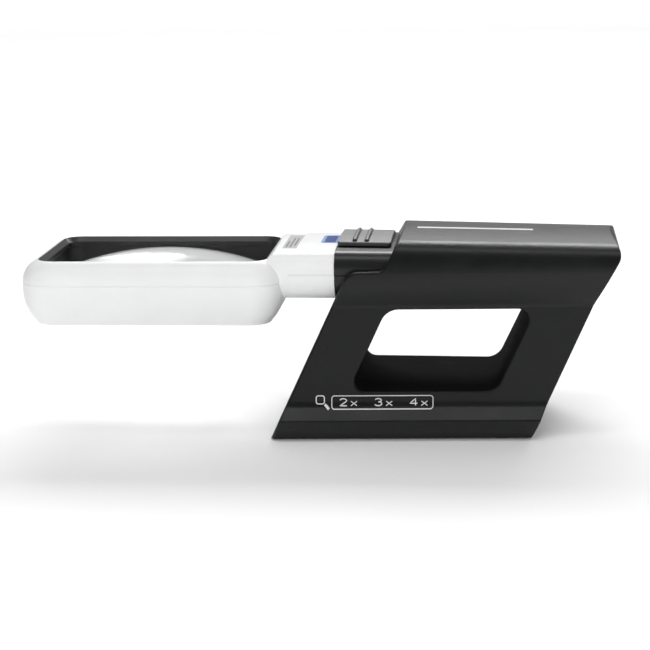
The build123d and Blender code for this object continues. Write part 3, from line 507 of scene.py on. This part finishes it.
# ------------------------------------------------------------------------- studio
FLOOR_HALF = 6.0
PAPER_BLOTCH = 60 * MM
PAPER_DARKER = (0.93, 0.93, 0.93)
PAPER_LIGHTER = (0.95, 0.95, 0.95)
PAPER_ROUGHNESS = 0.9
PAPER_GLOSS = 0.1
ROOM_LEVEL = 0.17
STAGE_CENTRE = (0, 0, 0.05)


def make_floor():
    """Large pale sweep under the object."""
    half = FLOOR_HALF
    corners = [(-half, -half, 0), (half, -half, 0), (half, half, 0), (-half, half, 0)]
    mesh = bpy.data.meshes.new("floor")
    mesh.from_pydata(corners, [], [(0, 1, 2, 3)])
    floor = bpy.data.objects.new("floor", mesh)
    bpy.context.scene.collection.objects.link(floor)
    material, tree, shader = new_material("pale_floor")
    paper = object_noise(tree, PAPER_BLOTCH)
    tree.links.new(blend_colours(tree, paper, PAPER_DARKER, PAPER_LIGHTER), shader.inputs["Base Color"])
    shader.inputs["Roughness"].default_value = PAPER_ROUGHNESS
    shader.inputs["Specular IOR Level"].default_value = PAPER_GLOSS
    mesh.materials.append(material)


def soft_box(name, place, target, width, height, radiance, shows_in_gloss=True):
    """Rectangular area light that shines from place towards target, by its brightness."""
    light = bpy.data.lights.new(name, "AREA")
    light.shape = "RECTANGLE"
    light.size = width
    light.size_y = height
    light.energy = radiance * width * height * math.pi
    lamp = bpy.data.objects.new(name, light)
    lamp.location = place
    lamp.rotation_euler = (Vector(target) - Vector(place)).to_track_quat("-Z", "Y").to_euler()
    lamp.visible_glossy = shows_in_gloss
    bpy.context.scene.collection.objects.link(lamp)


def make_world(level):
    """Even dim room light."""
    world = bpy.data.worlds.new("studio")
    world.use_nodes = True
    world.node_tree.nodes["Background"].inputs["Color"].default_value = (1, 1, 1, 1)
    world.node_tree.nodes["Background"].inputs["Strength"].default_value = level
    bpy.context.scene.world = world


make_floor()
make_world(ROOM_LEVEL)
soft_box("back_light", place=(0.1, 1.2, 1.05), target=STAGE_CENTRE, width=1.3, height=0.5, radiance=8.5)
soft_box("overhead_strip", place=(0.0, -0.26, 1.35), target=STAGE_CENTRE, width=1.0, height=0.3, radiance=3.5)

# The fills light the diffuse colour of everything, and none of them shows in gloss.
soft_box(
    "wide_fill", place=(0.1, 0.6, 3.2), target=(0, 0.6, 0), width=5.0, height=4.0, radiance=0.5,
    shows_in_gloss=False,
)
soft_box(
    "far_fill", place=(0, 3.4, 1.6), target=(0, 3.2, 0), width=8.0, height=2.6, radiance=1.7,
    shows_in_gloss=False,
)
soft_box(
    "front_fill", place=(0.1, -2.1, 0.85), target=STAGE_CENTRE, width=2.6, height=1.2, radiance=3.05,
    shows_in_gloss=False,
)


# ------------------------------------------------------------------------- camera
CAMERA_PLACE = Vector((0.0650, -0.6791, 0.1760))
CAMERA_YAW = math.radians(-5.51)  # from +Y, positive towards +X
CAMERA_PITCH = math.radians(11.89)  # below the horizon
CAMERA_ROLL = math.radians(-0.985)
LENS_MM = 112.9
SENSOR_MM = 36.0
FARTHEST_SEEN = 30.0


def make_camera():
    """Long lens from in front, a little above the head and turned a little towards it."""
    data = bpy.data.cameras.new("camera")
    data.lens = LENS_MM
    data.sensor_width = SENSOR_MM
    data.clip_end = FARTHEST_SEEN
    camera = bpy.data.objects.new("camera", data)
    turn = (
        Matrix.Rotation(-CAMERA_YAW, 4, "Z")
        @ Matrix.Rotation(math.pi / 2 - CAMERA_PITCH, 4, "X")
        @ Matrix.Rotation(CAMERA_ROLL, 4, "Z")
    )
    camera.matrix_world = Matrix.Translation(CAMERA_PLACE) @ turn
    bpy.context.scene.collection.objects.link(camera)
    bpy.context.scene.camera = camera


make_camera()
bpy.context.scene.view_settings.view_transform = "Standard"
